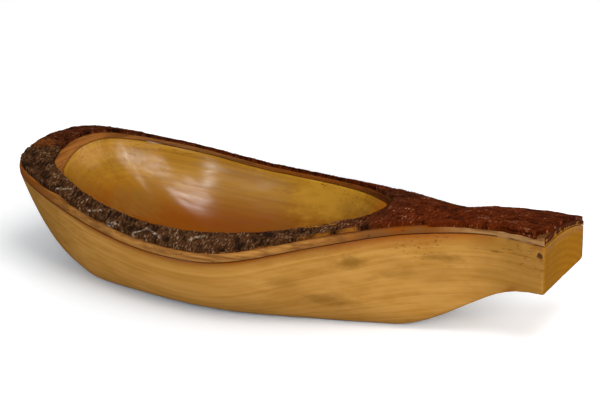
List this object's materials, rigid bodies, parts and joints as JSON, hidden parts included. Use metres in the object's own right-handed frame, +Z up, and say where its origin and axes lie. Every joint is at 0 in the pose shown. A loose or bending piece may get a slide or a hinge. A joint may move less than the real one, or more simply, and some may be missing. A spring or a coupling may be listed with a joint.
{
  "type": "live-edge fruit bowl",
  "caption": "Live-edge wooden bowl carved bark side up from half a log, with an egg-shaped hollow, a flared square-cut handle and a flat base, for holding fruit.",
  "frame": {"origin": "on the table plane, under the middle of the bowl's bounding box", "axes": "+X along the length from the bow to the handle, +Y to the far side in the picture, +Z up"},
  "size_m": [0.4309, 0.1797, 0.0862],
  "materials": {
    "lacquered_wood": "clear gloss lacquer over yellow-ochre wood with fine lengthwise grain",
    "inner_bark": "sanded and lacquered tan bast",
    "grey_bark": "rough grey-brown bark with pale ridges under lacquer",
    "red_bark": "smoother dark red-brown bark under lacquer",
    "knot": "dark pin knot under lacquer"
  },
  "bodies": {
    "root": {"bowl_body": "lacquered_wood", "inner_bark": "inner_bark", "outer_bark_near": "grey_bark", "outer_bark_far": "red_bark", "outer_bark_handle": "red_bark", "pin_knot": "knot"}
  },
  "joints": []
}
